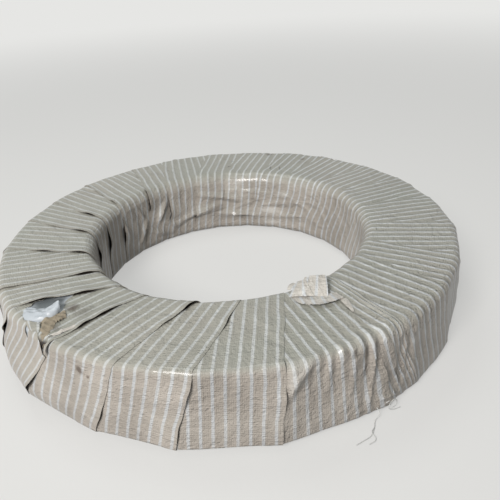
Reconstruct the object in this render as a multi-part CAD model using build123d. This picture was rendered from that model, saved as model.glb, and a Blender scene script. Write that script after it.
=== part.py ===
from build123d import *
import os
from math import asin, atan, ceil, cos, degrees, pi, radians, sin, sqrt, tan

# Coil of steel strapping in its spirally lapped paper wrap, lying flat.
# Millimetres, +Z up, origin on the floor below the middle of the bore.

# Steel coil
coil_bore_d = 406.4  # wound on a 16 inch mandrel
coil_outer_d = 650.0
coil_width = 101.6  # 4 inches across its ends
coil_bore_slope = 8.0  # the first and last turns sit a little back from the ends
coil_rim_slope = 8.0
turn_groups = 3  # turns that lie level with each other on the ends
turn_step = 0.5  # how far every second group lies back

# Plastic film under the paper
film_gap = 0.3
film_thickness = 0.8  # a few loose plies

# Paper strip wound through the bore
paper_gap = 0.3
paper_thickness = 1.2  # one turn of the strip with its slack
lap_step = 1.2  # how far a turn stands up where it lies on the next one
strip_width = 120.0
least_lap = 34.0  # of each turn over the next at the rim, where they lie furthest apart
first_edge_azimuth = -4.5
face_lean = 22.0  # lean of the turns from the radius, halfway across the upper face
rim_fold_r = 13.0  # fold of the strip over the coil's outer edge
bore_fold_r = 14.0
fold_slack = 0.2  # how far the fold into the bore starts inside the bore's wall
outline_reach = 30.0  # how far a turn's outline is drawn past the rim and into the bore

# Tear through the paper at the outer edge of the upper face
tear_azimuth = 224.5
tear_radius = 298.0
tear_length = 62.0
tear_width = 44.0

paper_inside = film_gap + film_thickness + paper_gap
single_layer = paper_inside + paper_thickness
double_layer = single_layer + lap_step
half_height = coil_width / 2 + double_layer
turn_count = ceil(pi * (coil_outer_d + 2 * single_layer) / (strip_width - least_lap))
turn_pitch = 360 / turn_count
half_turn = turn_pitch / 2


def bore_wall(offset):
    # Nearest that a flat stretched across one turn comes to the axis of the bore
    return (coil_bore_d / 2 - paper_inside) * cos(radians(half_turn)) - (offset - paper_inside)


bore_r = bore_wall(double_layer)
facet_r = coil_outer_d / 2 + single_layer
lip_r = bore_r + bore_fold_r
shoulder_r = facet_r - rim_fold_r
far_r = facet_r + outline_reach
near_r = bore_r - outline_reach

# A turn's visible edge leaves the rim square, leans across the face and enters the bore square.
# On the upper face it swings forward by face_advance from rim to bore, and on the lower face back
# by the rest of the pitch, so that the strip comes round one pitch further on.
line_offset = (facet_r + bore_r) / 2 * sin(radians(face_lean))
face_advance = degrees(asin(line_offset / lip_r) - asin(line_offset / shoulder_r))
under_advance = face_advance - turn_pitch


def polar(radius, azimuth):
    return (radius * cos(radians(azimuth)), radius * sin(radians(azimuth)))


def coil_end():
    # Outline of the upper end from bore to rim, with every second group of turns lying back
    inner = coil_bore_d / 2
    outer = coil_outer_d / 2
    end = coil_width / 2
    group_width = (outer - inner) / turn_groups
    outline = [(inner, end - coil_bore_slope), (inner + coil_bore_slope, end)]
    for group in range(1, turn_groups):
        before = end - turn_step * ((group + 1) % 2)
        after = end - turn_step * (group % 2)
        outline += [(inner + group * group_width, before), (inner + group * group_width, after)]
    last = end - turn_step * ((turn_groups - 1) % 2)
    return outline + [(outer - coil_rim_slope, last), (outer, end - coil_rim_slope)]


def strapping_coil():
    upper_end = coil_end()
    lower_end = [(x, -y) for x, y in reversed(upper_end)]
    section = make_face(Polyline(*upper_end, *lower_end, close=True))
    return revolve(Plane.XZ * section, Axis.Z)


def faceted_block(flat, height, slope):
    # Solid with one flat side for each turn of the wrap and sloped top and bottom edges
    block = extrude(RegularPolygon(flat, turn_count, major_radius=False), height / 2, both=True)
    ends = block.edges().group_by(Axis.Z)
    return chamfer(ends[0] + ends[-1], slope)


def faceted_ring(offset):
    # Ring of flats stretched over the coil, standing off the steel by offset
    growth = offset * (2 - sqrt(2))
    height = coil_width + 2 * offset
    outer = faceted_block(coil_outer_d / 2 + offset, height, coil_rim_slope + growth)
    corner_r = coil_bore_d / 2 - offset
    bore = Rot(0, 0, face_advance) * extrude(RegularPolygon(corner_r, turn_count), height, both=True)
    ring = outer - bore
    lip = [edge for edge in ring.edges() if abs(edge.center().Z) > height / 2 - 0.01]
    lip = [edge for edge in lip if Vector(edge.center().X, edge.center().Y).length < corner_r + 0.01]
    return chamfer(lip, coil_bore_slope + growth)


def film_liner():
    return faceted_ring(film_gap + film_thickness) - faceted_ring(film_gap)


def visible_edge(azimuth, advance):
    return [
        polar(near_r, azimuth + advance),
        polar(lip_r, azimuth + advance),
        polar(shoulder_r, azimuth),
        polar(far_r, azimuth),
    ]


def covered_edge(azimuth, advance):
    # The other edge of the strip whose visible edge is at azimuth, one strip width behind it
    rim_point = Vector(*polar(shoulder_r, azimuth))
    lip_point = Vector(*polar(lip_r, azimuth + advance))
    along = (rim_point - lip_point).normalized()
    across = Vector(along.Y, -along.X) * strip_width
    wall_azimuth = azimuth + advance - degrees(strip_width / bore_r)
    start = lip_point + across
    end = rim_point + across
    beyond = end + along * 2 * rim_fold_r
    return [
        polar(near_r, wall_azimuth),
        polar(bore_r, wall_azimuth),
        (start.X, start.Y),
        (end.X, end.Y),
        (beyond.X, beyond.Y),
        polar(far_r, azimuth - degrees(strip_width / far_r)),
    ]


def fold_block(azimuth, wall, level, fold_r):
    # All that lies below level and short of an upright wall square to azimuth, with the strip's fold
    side = Pos(wall - far_r, level / 2) * Rectangle(2 * far_r, level)
    corner = side.vertices().sort_by(Axis.X)[-2:].sort_by(Axis.Y)[-1]
    plane = Plane((0, 0, 0), x_dir=(*polar(1, azimuth), 0), z_dir=(*polar(1, azimuth - 90), 0))
    return extrude(plane * fillet(corner, fold_r), far_r, both=True)


def layer(outline, advance, offset):
    # Paper over one part of a turn. Its outer facet is turned so that the visible edge stands proud,
    # and its fold into the bore is straight across the strip.
    level = coil_width / 2 + offset
    wall = bore_wall(offset)
    yaw = degrees(atan(lap_step / 2 / (facet_r * tan(radians(half_turn)))))
    prism = extrude(make_face(Polyline(*outline, close=True)), half_height)
    rim = fold_block(-half_turn - yaw, facet_r, level, rim_fold_r)
    flat_wall = wall * cos(radians(half_turn)) - fold_slack
    lip = fold_block(advance - half_turn + 180, -flat_wall, level, bore_fold_r)
    return prism & rim & lip - Cylinder(wall, 4 * half_height)


def turn_half(advance):
    # One turn between its own visible edge and the last one, above the middle of the coil
    own_edge = visible_edge(0, advance)
    last_edge = visible_edge(-turn_pitch, advance)
    next_cover = covered_edge(turn_pitch, advance)
    single = layer(last_edge + own_edge[::-1], advance, single_layer)
    double = layer(next_cover + own_edge[::-1], advance, double_layer)
    return single + double - faceted_ring(paper_inside)


def tear():
    # Ragged opening with its long side across the turns
    outline = [(-0.5, -0.1), (-0.28, 0.42), (0.05, 0.3), (0.3, 0.5)]
    outline += [(0.5, 0.05), (0.36, -0.5), (0.02, -0.22), (-0.3, -0.44)]
    points = [(x * tear_length, y * tear_width) for x, y in outline]
    place = Rot(0, 0, tear_azimuth) * Pos(tear_radius, 0) * Rot(0, 0, 90)
    return extrude(place * make_face(Polyline(*points, close=True)), 2 * half_height)


def ring_of_turns(half):
    copies = [Rot(0, 0, turn * turn_pitch) * half for turn in range(turn_count)]
    return copies[0].fuse(*copies[1:])


def paper_wrap():
    upper = ring_of_turns(turn_half(face_advance))
    lower = mirror(ring_of_turns(turn_half(under_advance)), about=Plane.XY)
    wrap = Rot(0, 0, first_edge_azimuth) * (upper + lower)
    return (wrap - tear()).clean()


os.makedirs("parts", exist_ok=True)
pieces = {
    "strapping_coil": strapping_coil(),
    "film_liner": Rot(0, 0, first_edge_azimuth) * film_liner(),
    "paper_wrap": paper_wrap(),
}
for name, piece in pieces.items():
    export_step(Pos(0, 0, half_height) * piece, f"parts/{name}.step")
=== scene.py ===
import bpy
import bmesh
import numpy as np
from functools import partial
from math import asin, cos, degrees, pi, radians, sin
from mathutils import Matrix, Vector


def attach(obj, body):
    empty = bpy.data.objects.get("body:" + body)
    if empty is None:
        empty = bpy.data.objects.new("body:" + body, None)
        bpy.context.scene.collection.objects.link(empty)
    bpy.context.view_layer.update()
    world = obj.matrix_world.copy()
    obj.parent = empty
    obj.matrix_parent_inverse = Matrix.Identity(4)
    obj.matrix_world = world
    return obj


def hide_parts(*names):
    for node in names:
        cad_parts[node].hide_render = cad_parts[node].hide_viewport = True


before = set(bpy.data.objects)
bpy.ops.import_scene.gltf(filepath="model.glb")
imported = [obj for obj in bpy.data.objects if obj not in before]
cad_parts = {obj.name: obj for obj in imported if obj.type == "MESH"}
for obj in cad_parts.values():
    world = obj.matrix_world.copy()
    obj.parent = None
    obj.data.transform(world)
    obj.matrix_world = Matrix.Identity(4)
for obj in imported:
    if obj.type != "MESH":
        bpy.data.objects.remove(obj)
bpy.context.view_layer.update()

# The coil lies flat on the floor with its axis on Z. Lengths are millimetres until a mesh is made, azimuths are
# degrees from +X, and a place on the wrap is a part of the section and the share of it, as in ROWS.
MM = 0.001
STEEL_BORE_R = 203.2
STEEL_RIM_R = 325.0
STEEL_LOW = 3.8
STEEL_TOP = 105.4
MIDDLE_R = 264.0  # where each turn begins and ends on the underside
# Radii of the section's corners: below, and above as they are laid out, before lip_fold and rim_fold shape them
LOW_FOLD = 8.0
LOW_RIM_FOLD = 3.5
LIP_FOLD = 11.0
RIM_FOLD = 10.0

STRIP_WIDTH = 120.0
STRIPE_PITCH = 12.7
FIRST_STRIPE = 6.5  # from the visible edge to the middle of its first stripe
STRIPE_WANDER = 3.0
PAPER = 0.4
# How far the film and the first paper lie off the steel, and the rise of each lap, loose or pressed by the floor
FILM_LAYER = 0.9
FIRST_LAYER = 2.2
LAYER_STEP = 0.7
PRESSED_STEP = 0.55
TURNS = 24
FIRST_EDGE = -4.5  # azimuth of the first turn on the underside, where the turns are even
DEEPEST_LAP = 4  # how many turns back one can still lie below another

# Visible edge of each turn, going clockwise from the right: its azimuth at the outer shoulder, how far
# its line passes from the axis, and how many degrees it drifts going down the outer wall.
EDGES = [
    (-6.9, 2, 3), (-23.7, 24, 4), (-37.4, 42, 4.5), (-54.5, 16, 6), (-61.4, 38, 2), (-79.5, 86, -1.1),
    (-95.7, 103, -4.2), (-110.4, 100, -6.3), (-125.8, 74, -11), (-142.8, 119, -11), (-153, 92, -9), (-173.2, 118, -5),
    (-189.5, 105, -6), (-202.2, 92, -5), (-216, 88, -4), (-234.2, 82, -5), (-245.5, 83, -3), (-262, 88, -4),
    (-274.5, 70, -4), (-290, 52, -2), (-304, 44, -3), (-320, 30, 0), (-334.5, 24, 2), (-350.2, 10, 3),
]
# Turns with something of their own, counted from 0: stripes and pleats that bunch up along the visible edge,
# stripes that spread apart down the outer wall below a puckered corner, and the two that are torn
BUNCHED_TURN, FANNED_TURN, INNER_TORN_TURN, TORN_TURN = 3, 4, 7, 8
UNDER_LINE = -47.0  # how far the strip's line passes from the axis below the coil

# Rows of a turn's mesh, from the middle of the underside up the bore, over and back: part and count
ROWS = [("under_in", 5), ("low_lip", 4), ("bore", 26), ("lip", 9), ("face", 48), ("rim", 9), ("wall", 38),
        ("low_rim", 4), ("under_out", 5)]
COLUMNS = 48


def row_stations():
    """Part and share of it for each row, with the last row of a part shared by the next"""
    stations = [("under_in", 0.0)]
    for part, count in ROWS:
        stations += [(part, (i + 1) / count) for i in range(count)]
    return stations


STATIONS = row_stations()


def part_length(part):
    """Length of strip on a part of the section"""
    quarter = pi / 2
    return {
        "under_in": MIDDLE_R - STEEL_BORE_R - LOW_FOLD,
        "low_lip": quarter * LOW_FOLD,
        "bore": STEEL_TOP - STEEL_LOW - LOW_FOLD - LIP_FOLD,
        "lip": quarter * (LIP_FOLD + FIRST_LAYER),
        "face": STEEL_RIM_R - STEEL_BORE_R - LIP_FOLD - RIM_FOLD,
        "rim": quarter * (RIM_FOLD + FIRST_LAYER),
        "wall": STEEL_TOP - STEEL_LOW - LOW_RIM_FOLD - RIM_FOLD,
        "low_rim": quarter * LOW_RIM_FOLD,
        "under_out": STEEL_RIM_R - LOW_RIM_FOLD - MIDDLE_R,
    }[part]


def along_strip(part, share=0.0):
    """Length of strip from its start to a place on the section"""
    names = [name for name, count in ROWS]
    return sum(part_length(name) for name in names[:names.index(part)]) + share * part_length(part)


ALONG = np.array([along_strip(part, share) for part, share in STATIONS])
STRIP_LENGTH = along_strip("under_out", 1.0)


def lip_fold(azimuth):
    """Radius of the fold into the bore: 9 mm at the front, rounder at the back"""
    back = 0.5 + 0.5 * np.sin(np.radians(azimuth))
    return 9.0 + 7.5 * back ** 1.5


def near_azimuth(azimuth, centre, half):
    """One at an azimuth, falling to nothing a few half widths away"""
    away = (np.asarray(azimuth) - centre + 180.0) % 360.0 - 180.0
    return np.exp(-(away / half) ** 2)


def rim_fold(azimuth):
    """Radius of the shoulder: 8 mm, crisper at the front and crushed at the front right"""
    return 8.0 - 4.2 * near_azimuth(azimuth, -91.0, 30.0) + 3.5 * near_azimuth(azimuth, -53.0, 7.0)


def section(part, share, lip=LIP_FOLD, rim=RIM_FOLD):
    """Radius and height of the steel's rounded section, and the way out of it"""
    # Middle and radius of each corner, and the way out where the strip comes to it
    corners = {
        "low_lip": (STEEL_BORE_R + LOW_FOLD, STEEL_LOW + LOW_FOLD, LOW_FOLD, 1.5 * pi),
        "lip": (STEEL_BORE_R + lip, STEEL_TOP - lip, lip, pi),
        "rim": (STEEL_RIM_R - rim, STEEL_TOP - rim, rim, pi / 2),
        "low_rim": (STEEL_RIM_R - LOW_RIM_FOLD, STEEL_LOW + LOW_RIM_FOLD, LOW_RIM_FOLD, 0.0),
    }
    if part in corners:
        radius, height, fold, start = corners[part]
        out, up = cos(start - share * pi / 2), sin(start - share * pi / 2)
        return radius + fold * out, height + fold * up, out, up
    # Radius and height at the start and end of each flat, and the way out
    start_r, start_z, end_r, end_z, out, up = {
        "under_in": (MIDDLE_R, STEEL_LOW, STEEL_BORE_R + LOW_FOLD, STEEL_LOW, 0.0, -1.0),
        "bore": (STEEL_BORE_R, STEEL_LOW + LOW_FOLD, STEEL_BORE_R, STEEL_TOP - lip, -1.0, 0.0),
        "face": (STEEL_BORE_R + lip, STEEL_TOP, STEEL_RIM_R - rim, STEEL_TOP, 0.0, 1.0),
        "wall": (STEEL_RIM_R, STEEL_TOP - rim, STEEL_RIM_R, STEEL_LOW + LOW_RIM_FOLD, 1.0, 0.0),
        "under_out": (STEEL_RIM_R - LOW_RIM_FOLD, STEEL_LOW, MIDDLE_R, STEEL_LOW, 0.0, -1.0),
    }[part]
    return start_r + share * (end_r - start_r), start_z + share * (end_z - start_z), out, up


# Radius that each row is laid out on, the same all round
RADII = np.array([section(part, share)[0] for part, share in STATIONS])


def steel(row, azimuth):
    """Section at a row, with the upper corners as they are at each azimuth"""
    part, share = STATIONS[row]
    return section(part, share, lip_fold(azimuth), rim_fold(azimuth))


def smooth(x):
    """Eases from 0 to 1"""
    x = np.clip(x, 0.0, 1.0)
    return x * x * (3 - 2 * x)


def off_ends(margin):
    """One along the strip and nothing at its ends, which meet below the coil"""
    return smooth((ALONG - margin) / 40.0) * smooth((STRIP_LENGTH - margin - ALONG) / 40.0)


def straight_line(azimuth_at_shoulder, offset, across, radius):
    """Azimuth where a line of the flat strip, so far across it, meets a radius"""
    direction = azimuth_at_shoulder - degrees(asin(offset / (STEEL_RIM_R - RIM_FOLD)))
    return direction + np.degrees(np.arcsin((offset - across) / radius))


def edge_wave(turn, seed):
    """How an edge of the strip wanders, in millimetres along the turn"""
    draw = np.random.default_rng(100 * seed + turn)
    wave = np.zeros_like(ALONG)
    for length, size in ((210.0, 1.1), (95.0, 0.8), (41.0, 0.45), (19.0, 0.22)):
        wave += size * np.sin(2 * pi * ALONG / length + draw.uniform(0, 2 * pi))
    return wave * off_ends(60.0)


def turn_azimuth(turn, across):
    """Azimuth of every row of a turn, for lines so far across the strip from its visible edge"""
    across = np.atleast_1d(np.asarray(across, float))
    lap, index = divmod(turn, TURNS)
    edge, offset, drift = EDGES[index]
    if index == FANNED_TURN:
        drift = drift + 2.2 * np.exp(-across / 9.0) - 2.4 * (across / 100.0) ** 2
    rest = FIRST_EDGE - 360 / TURNS * index
    last_rest = rest + 360 / TURNS
    rows = []
    for (part, share), radius in zip(STATIONS, RADII):
        below = straight_line(last_rest, UNDER_LINE, across, radius)
        above = straight_line(edge, offset, across, radius)
        if part in ("under_in", "low_lip"):
            row = below
        elif part == "bore":
            row = below + (above - below) * (0.35 * share + 0.65 * smooth(share))
        elif part in ("lip", "face", "rim"):
            row = above
        else:
            row = straight_line(edge, offset, across, STEEL_RIM_R) + drift * (share if part == "wall" else 1.0)
            if part == "under_out":
                row += (straight_line(rest, UNDER_LINE, across, radius) - row) * smooth(share)
        rows.append(row)
    near = np.outer(edge_wave(index, 1), np.exp(-across / 22.0))
    far = np.outer(edge_wave(index, 2), np.exp(-(STRIP_WIDTH - across) / 22.0))
    return np.array(rows) + np.degrees((near + far) / RADII[:, None]) - 360 * lap


def waves(seed, along_coil, along_strip, lengths, sizes):
    """Seeded swells over the coil, in millimetres; along_coil is in degrees and closes on itself"""
    draw = np.random.default_rng(seed)
    total = np.zeros(np.broadcast(along_coil, along_strip).shape)
    for length, size in zip(lengths, sizes):
        for _ in range(4):
            heading = draw.uniform(0, pi)
            rounds = round(2 * pi * MIDDLE_R / length * cos(heading))
            phase = np.radians(along_coil) * rounds + 2 * pi * along_strip / length * sin(heading)
            total += size / 2 * np.sin(phase + draw.uniform(0, 2 * pi))
    return total


EDGE_ROWS = np.sort(np.concatenate([turn_azimuth(turn, 0.0) for turn in range(-TURNS, 2 * TURNS)], axis=1), axis=1)


def facet(row, part, azimuth):
    """Stand-off of a strip stretched over the round of the coil, with its corners at the visible edges"""
    corners = EDGE_ROWS[row]
    right = np.clip(np.searchsorted(corners, azimuth), 2, len(corners) - 2)
    width = corners[right] - corners[right - 1]
    before = corners[right - 1] - corners[right - 2]
    after = corners[right + 1] - corners[right]
    place = (azimuth - corners[right - 1]) / width
    inward = part in ("low_lip", "bore", "lip")
    radius = STEEL_BORE_R if inward else STEEL_RIM_R
    near, far = (radius / 2 * np.radians((width + beside) / 4) ** 2 for beside in (before, after))
    stand_off = near + (far - near) * place
    across = (2 * place - 1) ** 2
    # Paper gives a little, so it stands off less than a stiff flat would
    return 0.9 * stand_off * (1 - across) if inward else 0.75 * stand_off * across


def flutes(part, share, azimuth):
    """Upright creases below the crushed shoulder at the front right, and tucks in the shoulder itself"""
    down = {"face": 0.35 * smooth((share - 0.88) / 0.12), "rim": 0.35 + 0.65 * share, "wall": 1 - 0.55 * share}
    tucked = {"face": 0.4 * (share > 0.9), "rim": 1.0, "wall": max(0.0, 1 - 3 * share)}
    stripes = np.radians(azimuth) * STEEL_RIM_R / STRIPE_PITCH
    fold = 1 - np.abs(np.sin(stripes * pi / 2 + 1.2 * np.sin(azimuth * 0.7)))
    tuck = np.sin(stripes * 2 * pi)
    return near_azimuth(azimuth, -60.0, 11.0) * (3.4 * fold * down.get(part, 0.0) + 0.9 * tuck * tucked.get(part, 0.0))


def wall_sag(part, share, azimuth):
    """The wrap hangs a little slack at the foot of the outer wall, and bellies out at the left below the tear"""
    down = {"wall": smooth((share - 0.45) / 0.5), "low_rim": (1 - share) ** 3}.get(part, 0.0)
    swell = {"wall": sin(pi * min(1.0, share / 1.35)) ** 2, "low_rim": 0.53 * (1 - share) ** 4}.get(part, 0.0)
    slack = 2.4 + 0.9 * np.sin(np.radians(azimuth) * 7 + 1.0) + 0.5 * np.sin(np.radians(azimuth) * 17)
    front, left = near_azimuth(azimuth, -92.0, 30.0), near_azimuth(azimuth, -140.0, 17.0)
    return down * (slack + 1.6 * front) + swell * 13.0 * left


def bore_sag(part, share, azimuth):
    """Slack wrap that sags in level folds down the back of the bore"""
    if part != "bore":
        return 0.0
    depth = 1 - share
    drop = np.radians(azimuth) * 1.4
    folds = 0.5 + 0.5 * np.sin(2 * pi * (2.1 * depth + 0.25 * np.sin(3 * drop)) + drop)
    held = smooth(depth * 3) * smooth((1 - depth) * 4)
    return near_azimuth(azimuth, 95.0, 42.0) * held * (1.5 + 2.6 * folds)


def fold_lines(table):
    """Azimuth and length along the strip at both ends of each fold, then its half width and rise"""
    return [(first, along_strip(from_part, from_share), last, along_strip(to_part, to_share), half, rise)
            for (from_part, to_part), folds in table.items()
            for first, from_share, last, to_share, half, rise in folds]


# Sharp folds in the slack wrap, by the parts that they start and end on: azimuth and share of the part at the start,
# the same at the end, then the half width and rise
CREASES = fold_lines({
    ("rim", "wall"): [
        (-59.8, 0.4, -56.7, 0.42, 7, 3.6), (-62.6, 0.9, -62.4, 0.5, 5, 3.4), (-66.4, 0.7, -67.4, 0.8, 4, 2.4),
        (-71.2, 0.5, -72.6, 0.55, 5, 2.2), (-52, 0.2, -50.6, 0.75, 5, 1.6), (-103, 0.3, -104.6, 0.5, 5, 0.9),
        (-8, 0.1, -9, 0.5, 6, 1.2),
    ],
    ("wall", "wall"): [
        (-56.7, 0.42, -54.6, 0.95, 5, 2), (-62.4, 0.5, -63.4, 0.9, 5, 1.8), (-61, 0.82, -54.5, 0.9, 4, 2.2),
        (-47, 0.1, -45.4, 0.8, 5, 1.2), (-118.4, 0.02, -115, 0.45, 6, 1), (-88, 0, -89.6, 0.7, 5, 1.1),
    ],
    ("face", "wall"): [
        (-64.8, 0.94, -65.6, 0.12, 5, 3), (-68.6, 0.97, -69.8, 0.14, 5, 2.6), (-73, 0.97, -73.8, 0.1, 5, 2),
        (112, 0.75, 108, 0.15, 6, 1.6), (20, 0.82, 18.6, 0.3, 6, 1.2),
    ],
    ("face", "rim"): [
        (-55.4, 0.55, -56, 0.2, 3, 1.8), (-57, 0.65, -57.4, 0.4, 3, 1.6), (60, 0.5, 57, 0.5, 6, 1.6),
        (146, 0.55, 143, 0.8, 6, 1.4),
    ],
    ("face", "face"): [(-133, 0.6, -136, 0.95, 6, 1.6), (96, 0.3, 91, 0.95, 6, 1.4)],
    ("bore", "bore"): [
        (108, 0.86, 84, 0.62, 7, 4.2), (92, 0.9, 70, 0.8, 5, 3), (122.5, 0.26, 95, 0.55, 8, 5),
        (75, 0.5, 52, 0.66, 7, 3.6), (96, 0.3, 74, 0.22, 6, 4), (66, 0.24, 48, 0.36, 6, 3.4),
        (88, 0.44, 76, 0.62, 5, 2.8), (64, 0.86, 44, 0.5, 5, 2.6), (40, 0.8, 33, 0.3, 5, 2.4),
        (50, 0.96, 38, 0.9, 4, 2), (145, 0.12, 138, 0.6, 7, 5), (132, 0.45, 125, 0.9, 7, 5),
        (137, 0.34, 129, 0.1, 6, 4), (128, 0.42, 121, 0.2, 6, 3.6), (143, 0.95, 139, 0.6, 4, 2.6),
        (154, 0.95, 152, 0.2, 4, 2.6),
    ],
})
# Painted shade in the hollows between the folds at the front right and in the bore, given in the same way, with how
# dark the painted shade is in place of a rise, or below zero how bright a painted highlight on a fold is
HOLLOWS = fold_lines({
    ("rim", "wall"): [
        (-64.1, 0.75, -63.8, 0.15, 3.4, 0.9), (-66.5, 0.7, -67, 0.02, 3.2, 0.9), (-68.2, 0.5, -68.1, 0.02, 2.8, 0.7),
        (-61.9, 0.65, -62.5, 0.05, 3.6, 0.8),
    ],
    ("wall", "wall"): [(-63.8, 0.12, -64.3, 0.42, 2.8, 0.7), (-75.2, 0.02, -75.6, 0.36, 3.4, 0.5)],
    ("bore", "bore"): [
        (123, 0.13, 112.6, 0.29, 5, 0.5), (114, 0.28, 93, 0.43, 4, 0.55), (119, 0.03, 128, 0.05, 7, 0.4),
        (80.5, 0.68, 73, 0.59, 2.6, 0.5), (49, 0.68, 37, 0.67, 3, 0.4), (75, 0.39, 63, 0.36, 9, -0.9),
        (72, 0.08, 64, 0.06, 7, -0.7), (65, 0.8, 58, 0.82, 7, -0.5),
    ],
    ("bore", "lip"): [(90, 0.97, 82, 0.3, 7, -0.5)],
})


def creases(folds, row, azimuth):
    """Rise of the sharp folds at a row, or the painted shade and highlights of the hollows"""
    total = np.zeros_like(azimuth)
    for first, start, last, end, half, rise in folds:
        run_along, away_along = end - start, ALONG[row] - start
        if not min(run_along, 0) - half < away_along < max(run_along, 0) + half:
            continue
        run_round = radians(last - first) * RADII[row]
        away_round = np.radians((azimuth - first + 180.0) % 360.0 - 180.0) * RADII[row]
        way = (away_round * run_round + away_along * run_along) / (run_round ** 2 + run_along ** 2)
        way = np.clip(way, 0, 1)
        gap = np.hypot(away_round - way * run_round, away_along - way * run_along)
        total += rise * np.clip(1 - gap / half, 0, 1) * np.sqrt(np.sin(pi * np.clip(way, 0.03, 0.97)))
    return total


PUCKER_AZIMUTH, PUCKER_RISE = -79.7, 9.0


def corner_pucker(row, azimuth):
    """Flat triangle, bright to the front, where the slack paper stands off the corner beside a visible edge"""
    aside = azimuth - PUCKER_AZIMUTH
    narrowing = np.clip(1 - aside / 6.6, 0.0, 1.0)
    depth = ALONG[row] - along_strip("rim") - 1.0
    ridge = 40.0 * narrowing + 0.5
    rise = np.where(depth < ridge, depth / ridge, 1 - (depth - ridge) / (8.0 + 12.0 * narrowing))
    return PUCKER_RISE * narrowing ** 0.8 * np.clip(rise, 0.0, 1.0) * smooth((aside + 0.3) / 1.3)


def body_swell(row, azimuth):
    """What all turns at a place share: the facets and the unevenness of the wrap below them"""
    part, share = STATIONS[row]
    top = {"lip": share, "face": 1.0, "rim": 1.0 - share}.get(part, 0.0)
    side = {"bore": smooth(share * 3), "lip": 1 - share, "rim": share, "wall": smooth((1 - share) * 3)}.get(part, 0.0)
    swell = waves(11, azimuth, ALONG[row], (170.0, 90.0, 48.0), (0.5, 0.32, 0.14)) * (top + side)
    swell += waves(12, azimuth, ALONG[row] * 0.35, (70.0, 38.0), (0.42, 0.22)) * side
    swell = np.maximum(swell, -0.7) + wall_sag(part, share, azimuth) + flutes(part, share, azimuth)
    swell += bore_sag(part, share, azimuth) + creases(CREASES, row, azimuth)
    held = {"under_in": 0.0, "under_out": 0.0, "low_rim": 1 - share, "low_lip": share}.get(part, 1.0)
    out = {"face": 0.0, "lip": 1 - share, "rim": share}.get(part, 1.0)
    return swell + facet(row, part, azimuth) * held * out


# Places where a visible edge has come up: turn, share of the part, height, half length along the strip
LIFTS = {
    "face": [
        (0, 0.3, 0.8, 22), (3, 0.55, 1.8, 60), (6, 0.3, 2.4, 14), (7, 0.05, 4.2, 12), (7, 0.35, 1.8, 10),
        (8, 0.42, 3.8, 17), (8, 0.7, 3, 10), (9, 0.7, 5, 18), (9, 0.3, 3.6, 17), (10, 0.1, 3.4, 16),
        (10, 0.95, 1.6, 18), (11, 0.5, 2.6, 15), (11, 0.04, 2.9, 15), (12, 0.08, 2.8, 16), (12, 0.55, 0.9, 12),
        (13, 0.17, 3, 18), (14, 0.05, 2.3, 12), (16, 0.5, 1, 16), (18, 0.3, 1.8, 9), (19, 0.9, 2.4, 9),
        (20, 0.95, 2.2, 8),
    ],
    "wall": [
        (3, 0.6, 1.5, 18), (4, 0.5, 2.6, 15), (5, 0.36, 3.4, 11), (5, 0.9, 1.6, 10), (6, 0.2, 3.8, 14),
        (6, 0.75, 2.6, 20), (7, 0.75, 2.8, 16), (8, 0.62, 5, 14), (9, 0.2, 4.6, 9), (9, 0.78, 1.9, 13),
    ],
    "rim": [(5, 0.5, 2.6, 6), (8, 0.9, 3.5, 10)],
    "lip": [(15, 0.6, 3, 9)],
    "bore": [
        (11, 0.6, 3, 14), (12, 0.75, 3, 12), (13, 0.7, 4.4, 16), (14, 0.58, 5, 16), (15, 0.9, 4, 12),
        (16, 0.62, 5.2, 22), (17, 0.32, 4.4, 12), (18, 0.82, 3, 9), (19, 0.5, 2, 12), (20, 0.7, 2.4, 14),
        (22, 0.6, 1.8, 14),
    ],
}


def rise_of_edge(turn):
    """Height of a turn's visible edge in each row, by the places where it has come up"""
    rise = np.zeros(len(ALONG))
    for part, lifts in LIFTS.items():
        for index, share, height, half in lifts:
            if index == turn:
                rise += height * np.exp(-((ALONG - along_strip(part, share)) / half) ** 2)
    return rise


def edge_lift(turn, across):
    """How far a turn stands up near its visible edge"""
    own = waves(40 + turn, 0.0, ALONG, (90.0, 37.0), (0.3, 0.22))
    lift = np.outer(np.maximum(own, 0.0) * off_ends(60.0), np.clip(1 - across / 9.0, 0, 1) ** 2)
    lift += np.outer(rise_of_edge(turn), np.clip(1 - across / 30.0, 0, 1) ** 2)
    if turn == BUNCHED_TURN:
        run = smooth((ALONG - along_strip("face")) / 12.0) * smooth((along_strip("wall") + 6.0 - ALONG) / 12.0)
        lift += np.outer(run, 0.9 * np.abs(np.sin(pi * across / 4.2)) * np.exp(-(across / 13.0) ** 2))
    return lift


def gap_shade(turn, across):
    """Painted shade on a turn in its hollows and below the raised edge of the next one, and below zero a painted
    highlight, as on the stiff fold of the corner"""
    own = turn_azimuth(turn, across)
    inside = np.radians(turn_azimuth(turn + 1, 0.0) - own) * RADII[:, None]
    rise = np.clip((rise_of_edge((turn + 1) % TURNS)[:, None] - 1.2) / 1.6, 0, 1)
    # Painted shade below the raised edge of the next turn
    shade = smooth((inside + 1.0) / 2.2) * rise * np.clip(2.0 - inside / 14.0, 0, 1)
    for row, azimuth in enumerate(own):
        shade[row] += creases(HOLLOWS, row, azimuth)
        if turn == FANNED_TURN:
            # A painted highlight on the stiff fold of the puckered corner
            shade[row] -= 0.6 * corner_pucker(row, azimuth) / PUCKER_RISE
    return shade


def layers_below(turn, row, azimuth):
    """Height that the covered parts of the turns before this one give it"""
    total, radius = np.zeros_like(azimuth), steel(row, azimuth)[0]
    for before in range(1, DEEPEST_LAP + 1):
        # The paper climbs on to each in the 7 mm before its covered edge
        over = np.radians(azimuth - COVERED_ROWS[turn - before][row]) * radius
        total += smooth((over + 7.0) / 7.0)
    return total


COVERED_ROWS = {turn: turn_azimuth(turn, STRIP_WIDTH)[:, 0] for turn in range(-DEEPEST_LAP, TURNS)}


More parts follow.
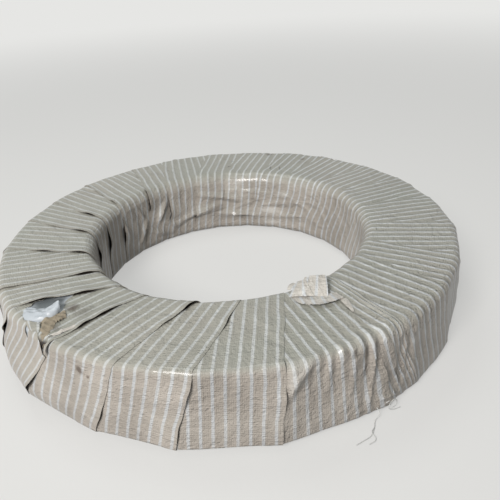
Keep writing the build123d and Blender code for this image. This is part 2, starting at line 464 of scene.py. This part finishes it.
def row_points(row, azimuth, stand):
    """Points of one row in metres, so far off the steel"""
    radius, height, out, up = steel(row, azimuth)
    reach, angle = radius + out * stand, np.radians(azimuth)
    return np.stack([reach * np.cos(angle), reach * np.sin(angle), height + up * stand], axis=-1) * MM


def turn_points(turn, across):
    """Middle of the paper of one turn"""
    azimuth = turn_azimuth(turn, across)
    own = waves(60 + turn, azimuth, ALONG[:, None], (60.0, 27.0), (0.05, 0.04)) * off_ends(50.0)[:, None]
    own += edge_lift(turn, across)
    rows = []
    for row, (part, share) in enumerate(STATIONS):
        under = {"under_in": 1.0, "low_lip": 1.0 - share, "low_rim": share, "under_out": 1.0}.get(part, 0.0)
        step = LAYER_STEP + (PRESSED_STEP - LAYER_STEP) * under
        stand = FIRST_LAYER + step * layers_below(turn, row, azimuth[row])
        stand += body_swell(row, azimuth[row]) + own[row]
        if turn == FANNED_TURN and part in ("rim", "wall"):
            stand += corner_pucker(row, azimuth[row])
        rows.append(row_points(row, azimuth[row], stand))
    return np.array(rows)


def new_object(name, data):
    """Object of a mesh, curve, light or camera, in the scene"""
    made = bpy.data.objects.new(name, data)
    bpy.context.scene.collection.objects.link(made)
    return made


def grid_mesh(name, points, u, v):
    """Sheet through a grid of points, with the distances across and along it as its UV map in metres"""
    rows, columns = points.shape[:2]
    mesh = bpy.data.meshes.new(name)
    index = np.arange(rows * columns).reshape(rows, columns)
    faces = np.stack([index[:-1, :-1], index[:-1, 1:], index[1:, 1:], index[1:, :-1]], axis=-1).reshape(-1, 4)
    mesh.from_pydata(points.reshape(-1, 3).tolist(), [], faces.tolist())
    layer = mesh.uv_layers.new(name="strip")
    flat = np.stack(np.broadcast_arrays(u * MM, v * MM), axis=-1).reshape(-1, 2)
    layer.data.foreach_set("uv", flat[faces.reshape(-1)].reshape(-1).astype(np.float32))
    return new_object(name, mesh)


def only(piece):
    """Makes a piece the one that the next operator works on"""
    bpy.ops.object.select_all(action="DESELECT")
    piece.select_set(True)
    bpy.context.view_layer.objects.active = piece


def thicken(piece, thickness):
    """Gives a sheet its thickness, half to each side"""
    only(piece)
    wall = piece.modifiers.new("thickness", "SOLIDIFY")
    wall.thickness = thickness * MM
    wall.offset = 0.0
    bpy.ops.object.modifier_apply(modifier=wall.name)
    bpy.ops.object.shade_smooth_by_angle(angle=radians(50))


def linear(hex_colour):
    """sRGB hex to linear RGBA"""
    parts = [int(hex_colour[i:i + 2], 16) / 255 for i in (0, 2, 4)]
    return [c / 12.92 if c <= 0.04045 else ((c + 0.055) / 1.055) ** 2.4 for c in parts] + [1.0]


def material(name):
    """New material without nodes, and what adds them to it"""
    made = bpy.data.materials.new(name)
    made.use_nodes = True
    made.node_tree.nodes.clear()
    return made, partial(add_node, made.node_tree)


def add_node(tree, kind, sockets=(), **settings):
    """One node with its settings, and its sockets by name or in order: each takes a number, a colour, a link, or a
    node, which stands for its first output. In order, a range takes the value, both ends of what it comes from and
    both ends of what it goes to, and a mix takes its share and two colours."""
    node = tree.nodes.new("ShaderNode" + kind)
    for key, value in settings.items():
        setattr(node, key, value)
    for key, value in sockets.items() if isinstance(sockets, dict) else enumerate(sockets):
        source = value.outputs[0] if isinstance(value, bpy.types.Node) else value
        if isinstance(source, bpy.types.NodeSocket):
            tree.links.new(source, node.inputs[key])
        else:
            node.inputs[key].default_value = source
    return node


# Brown marks on the wrap: place in millimetres, radius, strength
STAINS = [
    ((-183, -201, 108), 13, 0.8), ((-157, -287, 88), 9, 0.85), ((-147.5, -293, 83), 4, 1),
    ((-196, -238, 108), 16, 0.55), ((-168, -211, 108), 20, 0.4), ((171, -277, 14), 14, 0.5),
    ((79, 300, 108), 11, 0.6), ((141, 262, 108), 9, 0.55), ((56, -318, 66), 16, 0.3),
]


def stain_mask(add, place):
    """The strongest of the soft spots of the brown marks at each place"""
    total = 0.0
    # Ragged all round, in lobes of 8 mm
    ragged = add("TexNoise", {"Vector": place, "Scale": 120.0, "Detail": 3.0})
    for centre, radius, strength in STAINS:
        away = add("VectorMath", [place, [value * MM for value in centre]], operation="DISTANCE")
        torn = add("Math", [ragged, radius * MM * 0.9, away.outputs["Value"]], operation="MULTIPLY_ADD")
        spot = add("MapRange", [torn, radius * MM * 1.35, radius * MM * 0.5, 0.0, strength],
                   interpolation_type="SMOOTHSTEP")
        total = add("Math", [total, spot], operation="MAXIMUM")
    return total


def woven_kraft_paper(name, dark_paper, light_paper, dust_and_painted_tint_level):
    """Kraft paper backed with woven plastic: tan paper under a whitish tape every half inch, crinkled and
    dusty, with a painted cool tint on what faces up and a dull sheen on the tapes"""
    made, add = material(name)
    place = add("TexCoord").outputs["Object"]
    strip = add("UVMap", uv_map="strip")
    uv = add("SeparateXYZ", [strip])
    # Slow wander of the stripes, over some 80 mm
    wander = add("TexNoise", {"Vector": place, "Scale": 12.0, "Detail": 1.0})
    across = add("Math", [wander, STRIPE_WANDER * MM, uv.outputs["X"]], operation="MULTIPLY_ADD")
    # Distance from the middle of the nearest tape, in pitches
    count = add("Math", [across, 1000 / STRIPE_PITCH, 0.5 - (FIRST_STRIPE + STRIPE_WANDER / 2) / STRIPE_PITCH],
                operation="MULTIPLY_ADD")
    share = add("Math", [count], operation="FRACT")
    centred = add("Math", [share, 0.5], operation="SUBTRACT")
    away = add("Math", [centred], operation="ABSOLUTE")
    # Its edges are frayed every 4 mm, and its white is worn off in patches of 26 mm
    ragged = add("TexNoise", {"Vector": place, "Scale": 230.0, "Detail": 3.0})
    soft = add("Math", [ragged, 0.11, away], operation="MULTIPLY_ADD")
    tape_edge = add("MapRange", [soft, 0.235, 0.13], interpolation_type="SMOOTHSTEP")
    worn = add("TexNoise", {"Vector": place, "Scale": 38.0, "Detail": 4.0, "Roughness": 0.6})
    strength = add("MapRange", [worn, 0.3, 0.7, 0.7])
    stripe = add("Math", [tape_edge, strength], operation="MULTIPLY")
    # Short crinkles 10 mm long and 2.4 mm apart, across the strip where it has been pulled round the coil
    stretched = add("VectorMath", [strip, (95.0, 420.0, 1.0)], operation="MULTIPLY")
    puckers = add("TexNoise", {"Vector": stretched, "Scale": 1.0, "Detail": 3.0, "Roughness": 0.6, "Distortion": 0.5})
    # Weave of the backing: threads 2.4 mm apart along the strip and six to a tape across it, drawn coarser than
    # they are so that they show
    threads = []
    for way, spacing in ((uv.outputs["Y"], 2.4), (across, 2.1167)):
        turned = add("Math", [way, 2 * pi / (spacing * MM)], operation="MULTIPLY")
        threads.append(add("Math", [turned], operation="SINE"))
    weave = add("Math", threads, operation="ADD")
    # Grey-green dust on what faces up, in drifts of 125 mm, and with it a painted cool tint where the light falls on
    # the
    #     upper face. It dulls the tapes less than the paper, and least at the right
    facing = add("NewGeometry")
    up = add("SeparateXYZ", [facing.outputs["Normal"]])
    dusty = add("TexNoise", {"Vector": place, "Scale": 8.0, "Detail": 6.0, "Roughness": 0.68})
    settle = add("MapRange", [dusty, 0.3, 0.7, 0.5 * dust_and_painted_tint_level, dust_and_painted_tint_level])
    dust_and_painted_tint = add("Math", [up.outputs["Z"], settle], operation="MULTIPLY", use_clamp=True)
    where = add("SeparateXYZ", [place]).outputs["X"]
    share = add("MapRange", [where, -0.05, 0.2, 0.85, 0.15])
    thin = add("Math", [dust_and_painted_tint, share], operation="MULTIPLY")
    # Paper mottled every 60 mm, with fine lines along it where the threads show through
    mottle = add("TexNoise", {"Vector": place, "Scale": 16.0, "Detail": 7.0, "Roughness": 0.62})
    spread = add("MapRange", [mottle, 0.3, 0.7])
    paper = add("MixRGB", [spread, linear(dark_paper), linear(light_paper)])
    lines = add("MapRange", [weave, -2.0, 2.0, 0.95, 1.04])
    lined = add("VectorMath", [paper, lines], operation="MULTIPLY")
    dull = add("MixRGB", [dust_and_painted_tint, lined, linear("90938A")])
    tape = add("MixRGB", [spread, linear("BEC2C6"), linear("D6DADC")])
    grey = add("MixRGB", [thin, tape, linear("B4B7B2")])
    striped = add("MixRGB", [stripe, dull, grey])
    # Brown marks, painted shade in the hollows and gaps, and a painted highlight on folds, where the painted shade is
    # below zero
    marked = add("MixRGB", [stain_mask(add, place), striped, linear("6E5746")], blend_type="MULTIPLY")
    painted_shade_and_glare = add("Attribute", attribute_name="painted_shade_and_glare").outputs["Fac"]
    shaded = add("MixRGB", [painted_shade_and_glare, marked, linear("241C17")])
    painted_glare = add("Math", [painted_shade_and_glare, worn], operation="MULTIPLY")
    painted_glare = add("Math", [painted_glare, -1.6], operation="MULTIPLY")
    shaded = add("MixRGB", [painted_glare, shaded, linear("DEDDD8")])
    # Relief: slack paper in soft swells of 24 mm, sharp creases of 29, 12 and 5 mm and the tapes as ribs, both
    # strongest at the right, and the weave
    crease = add("TexNoise", {"Vector": place, "Scale": 42.0, "Detail": 3.0, "Distortion": 0.8})
    relief = add("Bump", {"Height": crease, "Strength": 0.6, "Distance": 0.003})
    proud = add("MapRange", [where, 0.05, 0.26, 0.15, 0.55])
    crushed = add("MapRange", [proud, 0.15, 0.55, 1.0, 2.0])
    for scale, strength, depth in ((34.0, 0.26, 0.012), (85.0, 0.32, 0.0066), (210.0, 0.5, 0.0036)):
        veins = add("TexNoise", {"Vector": place, "Scale": scale, "Detail": 2.0, "Distortion": 0.6})
        level = add("Math", [veins, 0.5], operation="SUBTRACT")
        ridge = add("Math", [level], operation="ABSOLUTE")
        height = add("Math", [ridge, crushed], operation="MULTIPLY")
        relief = add("Bump", {"Height": height, "Normal": relief, "Strength": strength, "Distance": depth})
    rib = add("MapRange", [away, 0.42, 0.06], interpolation_type="SMOOTHSTEP")
    raised = add("Math", [rib, proud], operation="MULTIPLY")
    for height, strength, depth in ((puckers, 0.44, 0.0022), (raised, 0.9, 0.002), (weave, 0.25, 0.0002)):
        relief = add("Bump", {"Height": height, "Normal": relief, "Strength": strength, "Distance": depth})
    rough = add("MapRange", {"Value": stripe, "To Min": 0.5, "To Max": 0.36})
    shader = add("BsdfPrincipled", {"Base Color": shaded, "Roughness": rough, "Normal": relief, "IOR": 1.5,
                                    "Specular IOR Level": 0.3, "Coat Weight": 0.4, "Coat Roughness": 0.15})
    add("OutputMaterial", {"Surface": shader})
    return made


def strapping_steel():
    """Cold rolled strapping in a coil: fine turns seen edge on, greyish blue and slightly oiled"""
    made, add = material("strapping_steel")
    place = add("TexCoord").outputs["Object"]
    point = add("SeparateXYZ", [place])
    flat = add("CombineXYZ", {"X": point.outputs["X"], "Y": point.outputs["Y"]})
    reach = add("VectorMath", [flat], operation="LENGTH")
    # Turns drawn 1.2 mm apart, coarser than most strapping, so that they show
    turns = add("Math", [reach.outputs["Value"], 2 * pi / (1.2 * MM)], operation="MULTIPLY")
    lines = add("Math", [turns], operation="SINE")
    haze = add("TexNoise", {"Vector": place, "Scale": 18.0, "Detail": 5.0})
    colour = add("MixRGB", [haze, linear("5E6064"), linear("8D9094")])
    rough = add("MapRange", {"Value": haze, "To Min": 0.28, "To Max": 0.5})
    relief = add("Bump", {"Height": lines, "Strength": 0.4, "Distance": 0.0002})
    shader = add("BsdfPrincipled", {"Base Color": colour, "Roughness": rough, "Normal": relief, "Metallic": 1.0})
    add("OutputMaterial", {"Surface": shader})
    return made


def liner_film():
    """Milky, bluish polyethylene film, softly folded and glossy, with painted shade where it lies in the hollow of the
    tear
    """
    made, add = material("liner_film")
    place = add("TexCoord").outputs["Object"]
    # Soft folds of 22 mm
    folds = add("TexNoise", {"Vector": place, "Scale": 45.0, "Detail": 2.0, "Distortion": 1.0})
    milky = add("MixRGB", [folds, linear("959DA4"), linear("CDD4DA")])
    # Painted shade in the hollow of the tear, below the raised edge of the paper
    away = add("VectorMath", [place, (-0.217, -0.186, 0.106)], operation="DISTANCE")
    torn = add("Math", [folds, 0.016, away.outputs["Value"]], operation="MULTIPLY_ADD")
    hollow_shade = add("MapRange", [torn, 0.034, 0.02, 0.0, 0.85], interpolation_type="SMOOTHSTEP")
    point = add("SeparateXYZ", [place])
    low = add("MapRange", [point.outputs["Z"], 0.1085, 0.1065])
    both = add("Math", [hollow_shade, low], operation="MULTIPLY")
    colour = add("MixRGB", [both, milky, linear("565C5E")])
    relief = add("Bump", {"Height": folds, "Strength": 0.5, "Distance": 0.003})
    shader = add("BsdfPrincipled", {"Base Color": colour, "Normal": relief, "Roughness": 0.32, "IOR": 1.5})
    add("OutputMaterial", {"Surface": shader})
    return made


def bare_kraft_paper():
    """The torn inner ply: brown kraft with fuzzy, paler fibres at its tears"""
    made, add = material("bare_kraft_paper")
    place = add("TexCoord").outputs["Object"]
    # Tufts of fibre of 7 mm
    fibres = add("TexNoise", {"Vector": place, "Scale": 150.0, "Detail": 6.0, "Roughness": 0.7})
    colour = add("MixRGB", [fibres, linear("6B6253"), linear("A99F8C")])
    relief = add("Bump", {"Height": fibres, "Strength": 0.6, "Distance": 0.0012})
    shader = add("BsdfPrincipled", {"Base Color": colour, "Normal": relief, "Roughness": 0.85, "IOR": 1.5})
    add("OutputMaterial", {"Surface": shader})
    return made


def tape_thread():
    """Split white plastic tape of the backing, slightly glossy"""
    made, add = material("tape_thread")
    shader = add("BsdfPrincipled", {"Base Color": linear("C9CBC9"), "Roughness": 0.4, "IOR": 1.5})
    add("OutputMaterial", {"Surface": shader})
    return made


THREAD_MATERIAL = tape_thread()
PAPER_MATERIAL = woven_kraft_paper("woven_kraft_paper", dark_paper="A29B92", light_paper="C2BBB2", dust_and_painted_tint_level=0.92)
BACK_MATERIAL = woven_kraft_paper("paper_turned_back", dark_paper="B9B4AC", light_paper="D6D2CB", dust_and_painted_tint_level=0.15)
STEEL_MATERIAL = strapping_steel()
FILM_MATERIAL = liner_film()
KRAFT_MATERIAL = bare_kraft_paper()


def dress(piece, look):
    """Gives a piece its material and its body"""
    piece.data.materials.clear()
    piece.data.materials.append(look)
    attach(piece, "root")


# Tear at the outer edge of the upper face, in the turn below it and the one under that: X and Y
TEAR = [
    (-240, -209), (-238, -192), (-231, -181), (-219, -175), (-206, -174), (-190, -171), (-196, -190), (-193, -204),
    (-199, -214), (-194, -225), (-199, -238), (-195, -262), (-204, -268), (-211, -243), (-219, -228), (-231, -222),
]
INNER_TEAR = [
    (-239, -206), (-234, -184), (-219, -176), (-202, -175), (-199, -193), (-203, -209), (-199, -220), (-206, -230),
    (-212, -222), (-224, -220),
]
# Small slits: the turns that they go through, the part of the wrap, and their outline as azimuth and height, or on
# the face azimuth and radius
SLITS = [
    ([8], "wall", [(-135.3, 113), (-134.4, 110), (-134.0, 102), (-134.4, 92), (-134.9, 97), (-135.5, 105)]),
    ([2, 3], "wall", [(-56.7, 60), (-56.2, 50), (-55.5, 34), (-55.2, 20), (-55.7, 32), (-56.4, 48)]),
    ([18, 17], "wall", [(77.4, 114), (78.7, 112), (78.2, 101), (77.7, 97)]),
    ([20, 19], "wall", [(50.4, 114), (52.6, 113), (52.0, 104), (51.2, 99), (50.7, 104)]),
    ([17, 18], "bore", [(87, 28.2), (85, 29.6), (82, 28.8), (80.5, 27.6), (83, 27.2), (85.5, 27.8)]),
    ([15, 16], "bore", [(109.4, 40), (108.4, 43), (107.8, 36), (108.2, 29), (108.9, 34)]),
    ([18, 19], "face", [(66.0, 228), (66.6, 238), (67.6, 248), (66.9, 237)]),
    ([18, 19], "face", [(70.2, 226), (70.6, 236), (71.4, 244), (70.9, 234)]),
    ([18, 19], "face", [(66.0, 318), (67.2, 321), (66.9, 335), (65.6, 336), (66.3, 327)]),
    ([16, 17], "face", [(90.8, 240), (90.2, 246), (88.4, 249), (89.6, 244)]),
    ([17], "face", [(88.2, 268), (88.6, 276), (90.4, 281), (89.0, 274)]),
]
# Radii that a slit in a wall goes through, and heights that a tear or slit on the face goes through
WALL_REACH = {"wall": (316.0, 345.0), "bore": (180.0, 208.0)}
FACE_REACH = (88.0, 125.0)


def ragged(outline, rag, seed):
    """An outline with its sides broken up as a tear is"""
    draw = np.random.default_rng(seed)
    rough = []
    for start, end in zip(outline, outline[1:] + outline[:1]):
        run = Vector(end) - Vector(start)
        for share in (0.0, 0.25, 0.5, 0.75):
            side = Vector((-run.y, run.x)).normalized() * (draw.uniform(-rag, rag) if share else 0.0)
            rough.append(Vector(start) + run * share + side)
    return rough


def tear_block(low_ring, high_ring):
    """Closed block between two rings of points in millimetres"""
    count = len(low_ring)
    mesh = bpy.data.meshes.new("tear_block")
    sides = [(i, (i + 1) % count, count + (i + 1) % count, count + i) for i in range(count)]
    faces = [tuple(range(count))[::-1], tuple(range(count, 2 * count))] + sides
    mesh.from_pydata([[c * MM for c in point] for point in low_ring + high_ring], [], faces)
    shape = bmesh.new()
    shape.from_mesh(mesh)
    bmesh.ops.recalc_face_normals(shape, faces=shape.faces)
    shape.to_mesh(mesh)
    shape.free()
    return new_object("tear_block", mesh)


def cut(piece, low_ring, high_ring):
    """Takes the block between two rings out of a piece"""
    block = tear_block(low_ring, high_ring)
    only(piece)
    hole = piece.modifiers.new("tear", "BOOLEAN")
    hole.operation = "DIFFERENCE"
    hole.solver = "EXACT"
    hole.object = block
    bpy.ops.object.modifier_apply(modifier=hole.name)
    bpy.data.objects.remove(block)


def tear_turn(piece, outline, rag, seed):
    """Ragged hole in the face of a turn, from an outline of X and Y"""
    ring = ragged(outline, rag, seed)
    cut(piece, *[[(x, y, height) for x, y in ring] for height in FACE_REACH])


def slit_turn(piece, part, outline):
    """Small slit through a turn"""
    def spot(radius, azimuth):
        return radius * cos(radians(azimuth)), radius * sin(radians(azimuth))

    if part == "face":
        tear_turn(piece, [spot(radius, azimuth) for azimuth, radius in outline], rag=0.4, seed=23)
    else:
        cut(piece, *[[(*spot(radius, azimuth), height) for azimuth, height in outline]
                     for radius in WALL_REACH[part]])


def bezier(points, share):
    """Smooth curve through a few points of a given net, by their Bernstein weights"""
    degree = len(points) - 1
    weights = [1.0]
    for _ in range(degree):
        weights = [1.0] + [weights[i] + weights[i + 1] for i in range(len(weights) - 1)] + [1.0]
    return sum(np.outer(w * share ** i * (1 - share) ** (degree - i), p)
               for i, (w, p) in enumerate(zip(weights, points)))


def loose_points(net, across_count, along_count):
    """Grid over a net of given rows of points, in millimetres"""
    rows = np.array([bezier(row, np.linspace(0, 1, across_count)) for row in net])
    return np.array([bezier(line, np.linspace(0, 1, along_count)) for line in rows.swapaxes(0, 1)]).swapaxes(0, 1)


def crumple(points, seed, size, length):
    """Points moved up and down in sharp small folds"""
    draw = np.random.default_rng(seed)
    shift = np.zeros(points.shape[:2])
    for _ in range(7):
        way = draw.normal(size=3)
        way /= np.linalg.norm(way)
        wave = np.sin(points @ way * 2 * pi / (length * draw.uniform(0.7, 1.6)) + draw.uniform(0, 2 * pi))
        shift += size / 3 * (1 - 2 * np.abs(wave))
    points[..., 2] += shift
    return points


def loose_sheet(name, net, look=BACK_MATERIAL, seed=1, size=0.5, length=14.0,
                thickness=PAPER, phase=0.0, counts=(40, 30), rag=1.0):
    """A torn or folded scrap over a net of rows of points, with so many points across and along it"""
    points = crumple(loose_points(net, *counts), seed, size, length)
    draw = np.random.default_rng(seed + 500)
    points[-1] += (points[-2] - points[-1]) * draw.uniform(-rag, rag, (counts[0], 1))
    u, v = (np.concatenate([[0], np.cumsum(np.linalg.norm(np.diff(points, axis=axis), axis=2).mean(axis=1 - axis))])
            for axis in (1, 0))
    piece = grid_mesh(name, points * MM, u[None, :] + phase, v[:, None])
    thicken(piece, thickness)
    dress(piece, look)


def torn_place():
    """Film that has come out of the tear, and the torn inner paper beside it"""
    loose_sheet("film_tuft", [
        [(-243, -208, 106), (-242, -198, 110), (-238, -191, 108), (-234, -187, 105.8)],
        [(-236, -217, 107), (-232, -212, 115), (-228, -202, 110), (-224, -195, 106)],
        [(-225, -222, 107), (-221, -218, 117), (-217, -206, 108), (-214, -197, 106)],
        [(-213, -225, 107), (-208, -221, 113), (-206, -210, 113), (-206, -198, 109)],
        [(-205, -222, 106.5), (-202, -218, 118), (-199, -208, 121), (-199, -197, 126)],
        [(-200, -214, 106.5), (-196, -212, 111), (-194, -206, 113), (-197, -199, 117)],
    ], FILM_MATERIAL, seed=3, size=0.8, length=17.0, thickness=0.25, counts=(46, 50))
    loose_sheet("torn_inner_paper", [
        [(-216, -216, 107), (-206, -220, 111), (-197, -212, 108)],
        [(-214, -232, 107), (-203, -238, 114), (-193, -224, 109)],
        [(-208, -244, 107.5), (-202, -249, 111), (-196, -241, 109)],
        [(-204, -253, 107), (-199, -256, 109.5), (-195, -250, 108)],
        [(-203, -258, 99), (-200, -263, 101), (-196, -261, 103)],
    ], KRAFT_MATERIAL, seed=5, size=1.1, length=17.0, counts=(40, 64), rag=4.0)
    loose_sheet("torn_inner_tongue", [
        [(-203, -214, 108), (-197, -210, 110), (-191, -205, 109)],
        [(-200, -222, 108.5), (-194, -217, 112), (-187, -212, 109.5)],
        [(-198, -230, 108.5), (-191, -226, 110.5), (-185, -221, 109.5)],
    ], KRAFT_MATERIAL, seed=8, size=0.8, length=14.0, counts=(30, 24), rag=4.0)
    loose_sheet("torn_outer_paper", [
        [(-234, -217, 107), (-224, -226, 110), (-213, -226, 109)],
        [(-230, -226, 106.5), (-221, -234, 110.5), (-211, -234, 109)],
        [(-224, -234, 105.5), (-217, -241, 108), (-209, -244, 107.5)],
    ], PAPER_MATERIAL, seed=6, size=0.5, length=13.0, counts=(24, 18), rag=1.5)
    loose_sheet("torn_edge_roll", [
        [(-197, -257, 109), (-193, -254, 114), (-189, -255, 109.6)],
        [(-186, -248, 109.3), (-182, -245, 114.5), (-178, -247, 109.8)],
        [(-175, -240, 109.1), (-172, -236, 111.5), (-168, -239, 109.5)],
    ], seed=7, size=0.4, counts=(14, 40), phase=3.0)


def lip_flap():
    """Torn end of the paper that has folded up out of the bore at the front right"""
    loose_sheet("lip_flap", [
        [(85, -209, 110.8), (100, -210, 111.4), (117, -212, 111)],
        [(87, -199, 115), (102, -201, 118), (118, -204, 116)],
        [(90, -191, 118), (104, -193, 121), (118, -197, 120)],
        [(93, -182, 119.5), (107, -180, 121.5), (119, -182, 121)],
    ], seed=11, size=0.35, phase=2.0, counts=(34, 30), rag=0.6)
    loose_sheet("lip_flap_fold", [
        [(72, -208, 110.2), (84, -211, 112.5), (101, -212, 112)],
        [(77, -196, 112.5), (86, -201, 117.5), (96, -204, 118)],
        [(84, -182, 113.5), (89, -185, 118), (94, -187, 119.5)],
    ], seed=12, size=0.3, phase=6.0, counts=(26, 24), rag=0.6)
    loose_sheet("lip_fan", [
        [(73, -205, 109.4), (90, -205, 109.8), (110, -206, 109.8), (128, -204, 109.8)],
        [(76, -213, 109.9), (90, -220, 111.5), (111, -223, 112), (130, -214, 111.5)],
        [(80, -219, 110.3), (90, -233, 113.2), (112, -236, 114.2), (134, -219, 113)],
    ], seed=13, size=0.25, phase=9.0, counts=(60, 20), rag=1.2)
    loose_sheet("lip_scrap", [
        [(127, -216, 111), (132, -218, 112), (137, -219, 110.6)],
        [(132, -228, 111), (136, -229, 111.4), (141, -228, 110)],
        [(138, -243, 109.6), (139, -244, 110), (141, -244, 109.6)],
    ], seed=14, size=0.2, counts=(14, 20), phase=10.0)
    loose_sheet("lip_curl", [
        [(71, -191, 109.4), (76, -193, 109.6), (81, -195, 109.4)],
        [(73, -184, 112.4), (79, -187, 113.2), (84, -190, 112.5)],
        [(79, -179, 110.5), (84, -182, 111.5), (88, -185, 111)],
    ], seed=15, size=0.3, counts=(16, 16))


def thread(name, points):
    """Loose thread or sliver of the backing's plastic tape"""
    data = bpy.data.curves.new(name, "CURVE")
    data.dimensions = "3D"
    data.bevel_depth = 0.55 * MM
    data.bevel_resolution = 1
    data.resolution_u = 6
    line = data.splines.new("BEZIER")
    line.bezier_points.add(len(points) - 1)
    for knot, point in zip(line.bezier_points, points):
        knot.co = Vector(point) * MM
        knot.handle_left_type = knot.handle_right_type = "AUTO"
    only(new_object(name, data))
    bpy.ops.object.convert(target="MESH")
    bpy.ops.object.shade_smooth()
    dress(bpy.context.object, THREAD_MATERIAL)
    return bpy.context.object


# Threads pulled out of the backing at the front right foot
FOOT_THREADS = {
    "foot_thread_long": [(160, -290, 12), (163, -296, 5), (158, -300, 1), (154, -311, 0.7), (148, -322, 0.7),
                         (139, -328, 0.9), (130, -333, 0.7)],
    "foot_thread_branch": [(154, -311, 0.9), (150, -318, 1.6), (152, -327, 0.8), (144, -333, 0.7)],
    "foot_thread_loop": [(163, -289, 15), (168, -287, 21), (174, -284, 17), (172, -286, 8), (177, -284, 6),
                         (182, -283, 13), (186, -281, 5), (180, -285, 2)],
    "foot_thread_curl": [(170, -287, 10), (174, -287, 14), (178, -284, 11), (176, -287, 4), (182, -286, 1),
                         (190, -283, 1)],
}


def wrap_turns():
    """The 24 turns of the paper, each cut off in the middle of the underside"""
    # Columns closer together towards the visible edge
    across = STRIP_WIDTH * np.linspace(0, 1, COLUMNS) ** 1.25
    for turn in range(TURNS):
        # The stripes start up to 1.4 mm aside, and two more of them crowd in along the bunched edge
        stripes = across + 1.4 * sin(2.4 * turn)
        if turn == BUNCHED_TURN:
            stripes = stripes + 26.0 * (1 - np.exp(-across / 9.0))
        piece = grid_mesh(f"wrap_turn_{turn + 1:02d}", turn_points(turn, across), stripes[None, :], ALONG[:, None])
        # Painted shade in the hollows and below raised edges, and painted highlights where it is below zero, kept on
        # the points
        painted_shade_and_glare = piece.data.attributes.new("painted_shade_and_glare", "FLOAT", "POINT")
        painted_shade_and_glare.data.foreach_set("value", gap_shade(turn, across).reshape(-1).astype(np.float32))
        thicken(piece, PAPER)
        if turn == TORN_TURN:
            tear_turn(piece, TEAR, rag=1.6, seed=21)
        if turn == INNER_TORN_TURN:
            tear_turn(piece, INNER_TEAR, rag=1.6, seed=22)
        for turns, part, outline in SLITS:
            if turn in turns:
                slit_turn(piece, part, outline)
        dress(piece, PAPER_MATERIAL)
        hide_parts("paper_wrap")
        fringe = [thread(*item) for item in FOOT_THREADS.items() if turn == BUNCHED_TURN]


def film():
    """Film round the steel, under the paper"""
    azimuth = np.linspace(0.0, 360.0, 361)
    rows = range(2, len(STATIONS) - 2)
    points = np.array([row_points(row, azimuth, FILM_LAYER + body_swell(row, azimuth - 360.0)) for row in rows])
    round_coil = np.radians(azimuth) * MIDDLE_R
    piece = grid_mesh("film_under_paper", points[:, ::-1], round_coil[None, ::-1], ALONG[2:-2, None])
    dress(piece, FILM_MATERIAL)
    only(piece)
    bpy.ops.object.shade_smooth()
    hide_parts("film_liner")


def camera():
    """Looks down on the coil from the front, as in the photograph"""
    # Radians and metres, by the camera that was fitted to the photograph
    pitch, roll = 0.5064, 0.0614
    right, up, back = Vector((1, 0, 0)), Vector((0, sin(pitch), cos(pitch))), Vector((0, -cos(pitch), sin(pitch)))
    place = back * 0.8646 + right * 0.029832 + up * 0.052668
    turn = Matrix((cos(roll) * right - sin(roll) * up, sin(roll) * right + cos(roll) * up, back)).transposed()
    data = bpy.data.cameras.new("camera")
    data.sensor_width = 36.0
    data.lens = 38.9
    data.clip_start = 0.01
    eye = new_object("camera", data)
    eye.matrix_world = Matrix.Translation(place) @ turn.to_4x4()
    bpy.context.scene.camera = eye


PALE = "E6E6E4"  # what the camera sees behind the coil


def seen_directly(add):
    """One for rays that come from the camera, a reflection or a clear thing, and nothing for soft light"""
    rays = add("LightPath")
    seen = add("Math", [rays.outputs["Is Camera Ray"], rays.outputs["Is Glossy Ray"]], operation="MAXIMUM")
    return add("Math", [seen, rays.outputs["Is Transmission Ray"]], operation="MAXIMUM")


def floor():
    """Pale floor that fades into the background"""
    # Half a millimetre down, clear of the lowest paper
    bpy.ops.mesh.primitive_plane_add(size=120, location=(0, 0, -0.5 * MM))
    plane = bpy.context.object
    plane.name = "floor"
    made, add = material("pale_floor")
    seen = seen_directly(add)
    away = add("VectorMath", [add("TexCoord").outputs["Object"]], operation="LENGTH")
    far = add("MapRange", [away.outputs["Value"], 0.8, 4.0, 0.6], interpolation_type="SMOOTHSTEP")
    part = add("Math", [seen, far], operation="MULTIPLY")
    tone = add("MixRGB", [seen, linear("757472"), linear("D2D2D0")])
    matt = add("BsdfPrincipled", {"Base Color": tone, "Roughness": 0.9})
    pale = add("Emission", {"Color": linear(PALE), "Strength": 1.0})
    mixed = add("MixShader", [part, matt, pale])
    add("OutputMaterial", {"Surface": mixed})
    plane.data.materials.append(made)


def lamp(name, place, aim, size, power, colour):
    """Square soft box at a place, turned to another"""
    data = bpy.data.lights.new(name, "AREA")
    data.shape = "SQUARE"
    data.size = size
    data.energy = power
    data.color = linear(colour)[:3]
    light = new_object(name, data)
    light.location = place
    light.rotation_euler = (Vector(aim) - Vector(place)).to_track_quat("-Z", "Y").to_euler()


def studio():
    """Dim light from all sides behind a pale background, and two soft boxes"""
    world = bpy.data.worlds.new("studio")
    bpy.context.scene.world = world
    world.use_nodes = True
    world.node_tree.nodes.clear()
    add = partial(add_node, world.node_tree)
    light = add("Background", {"Color": linear("E9EEF0"), "Strength": 0.2})
    pale = add("Background", {"Color": linear(PALE), "Strength": 1.0})
    mixed = add("MixShader", [seen_directly(add), light, pale])
    add("OutputWorld", {"Surface": mixed})
    lamp("ceiling_light", (-0.4, 0.6, 1.9), (0, 0, 0), 0.8, 9.0, "FBFFFC")
    lamp("front_light", (-1.0, -1.95, 1.75), (0, -0.1, 0.05), 0.9, 72.0, "FFFBF8")
    bpy.context.scene.view_settings.view_transform = "Standard"


camera()
studio()
floor()
wrap_turns()
film()
torn_place()
lip_flap()
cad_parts["strapping_coil"].data.materials.clear()
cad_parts["strapping_coil"].data.materials.append(STEEL_MATERIAL)
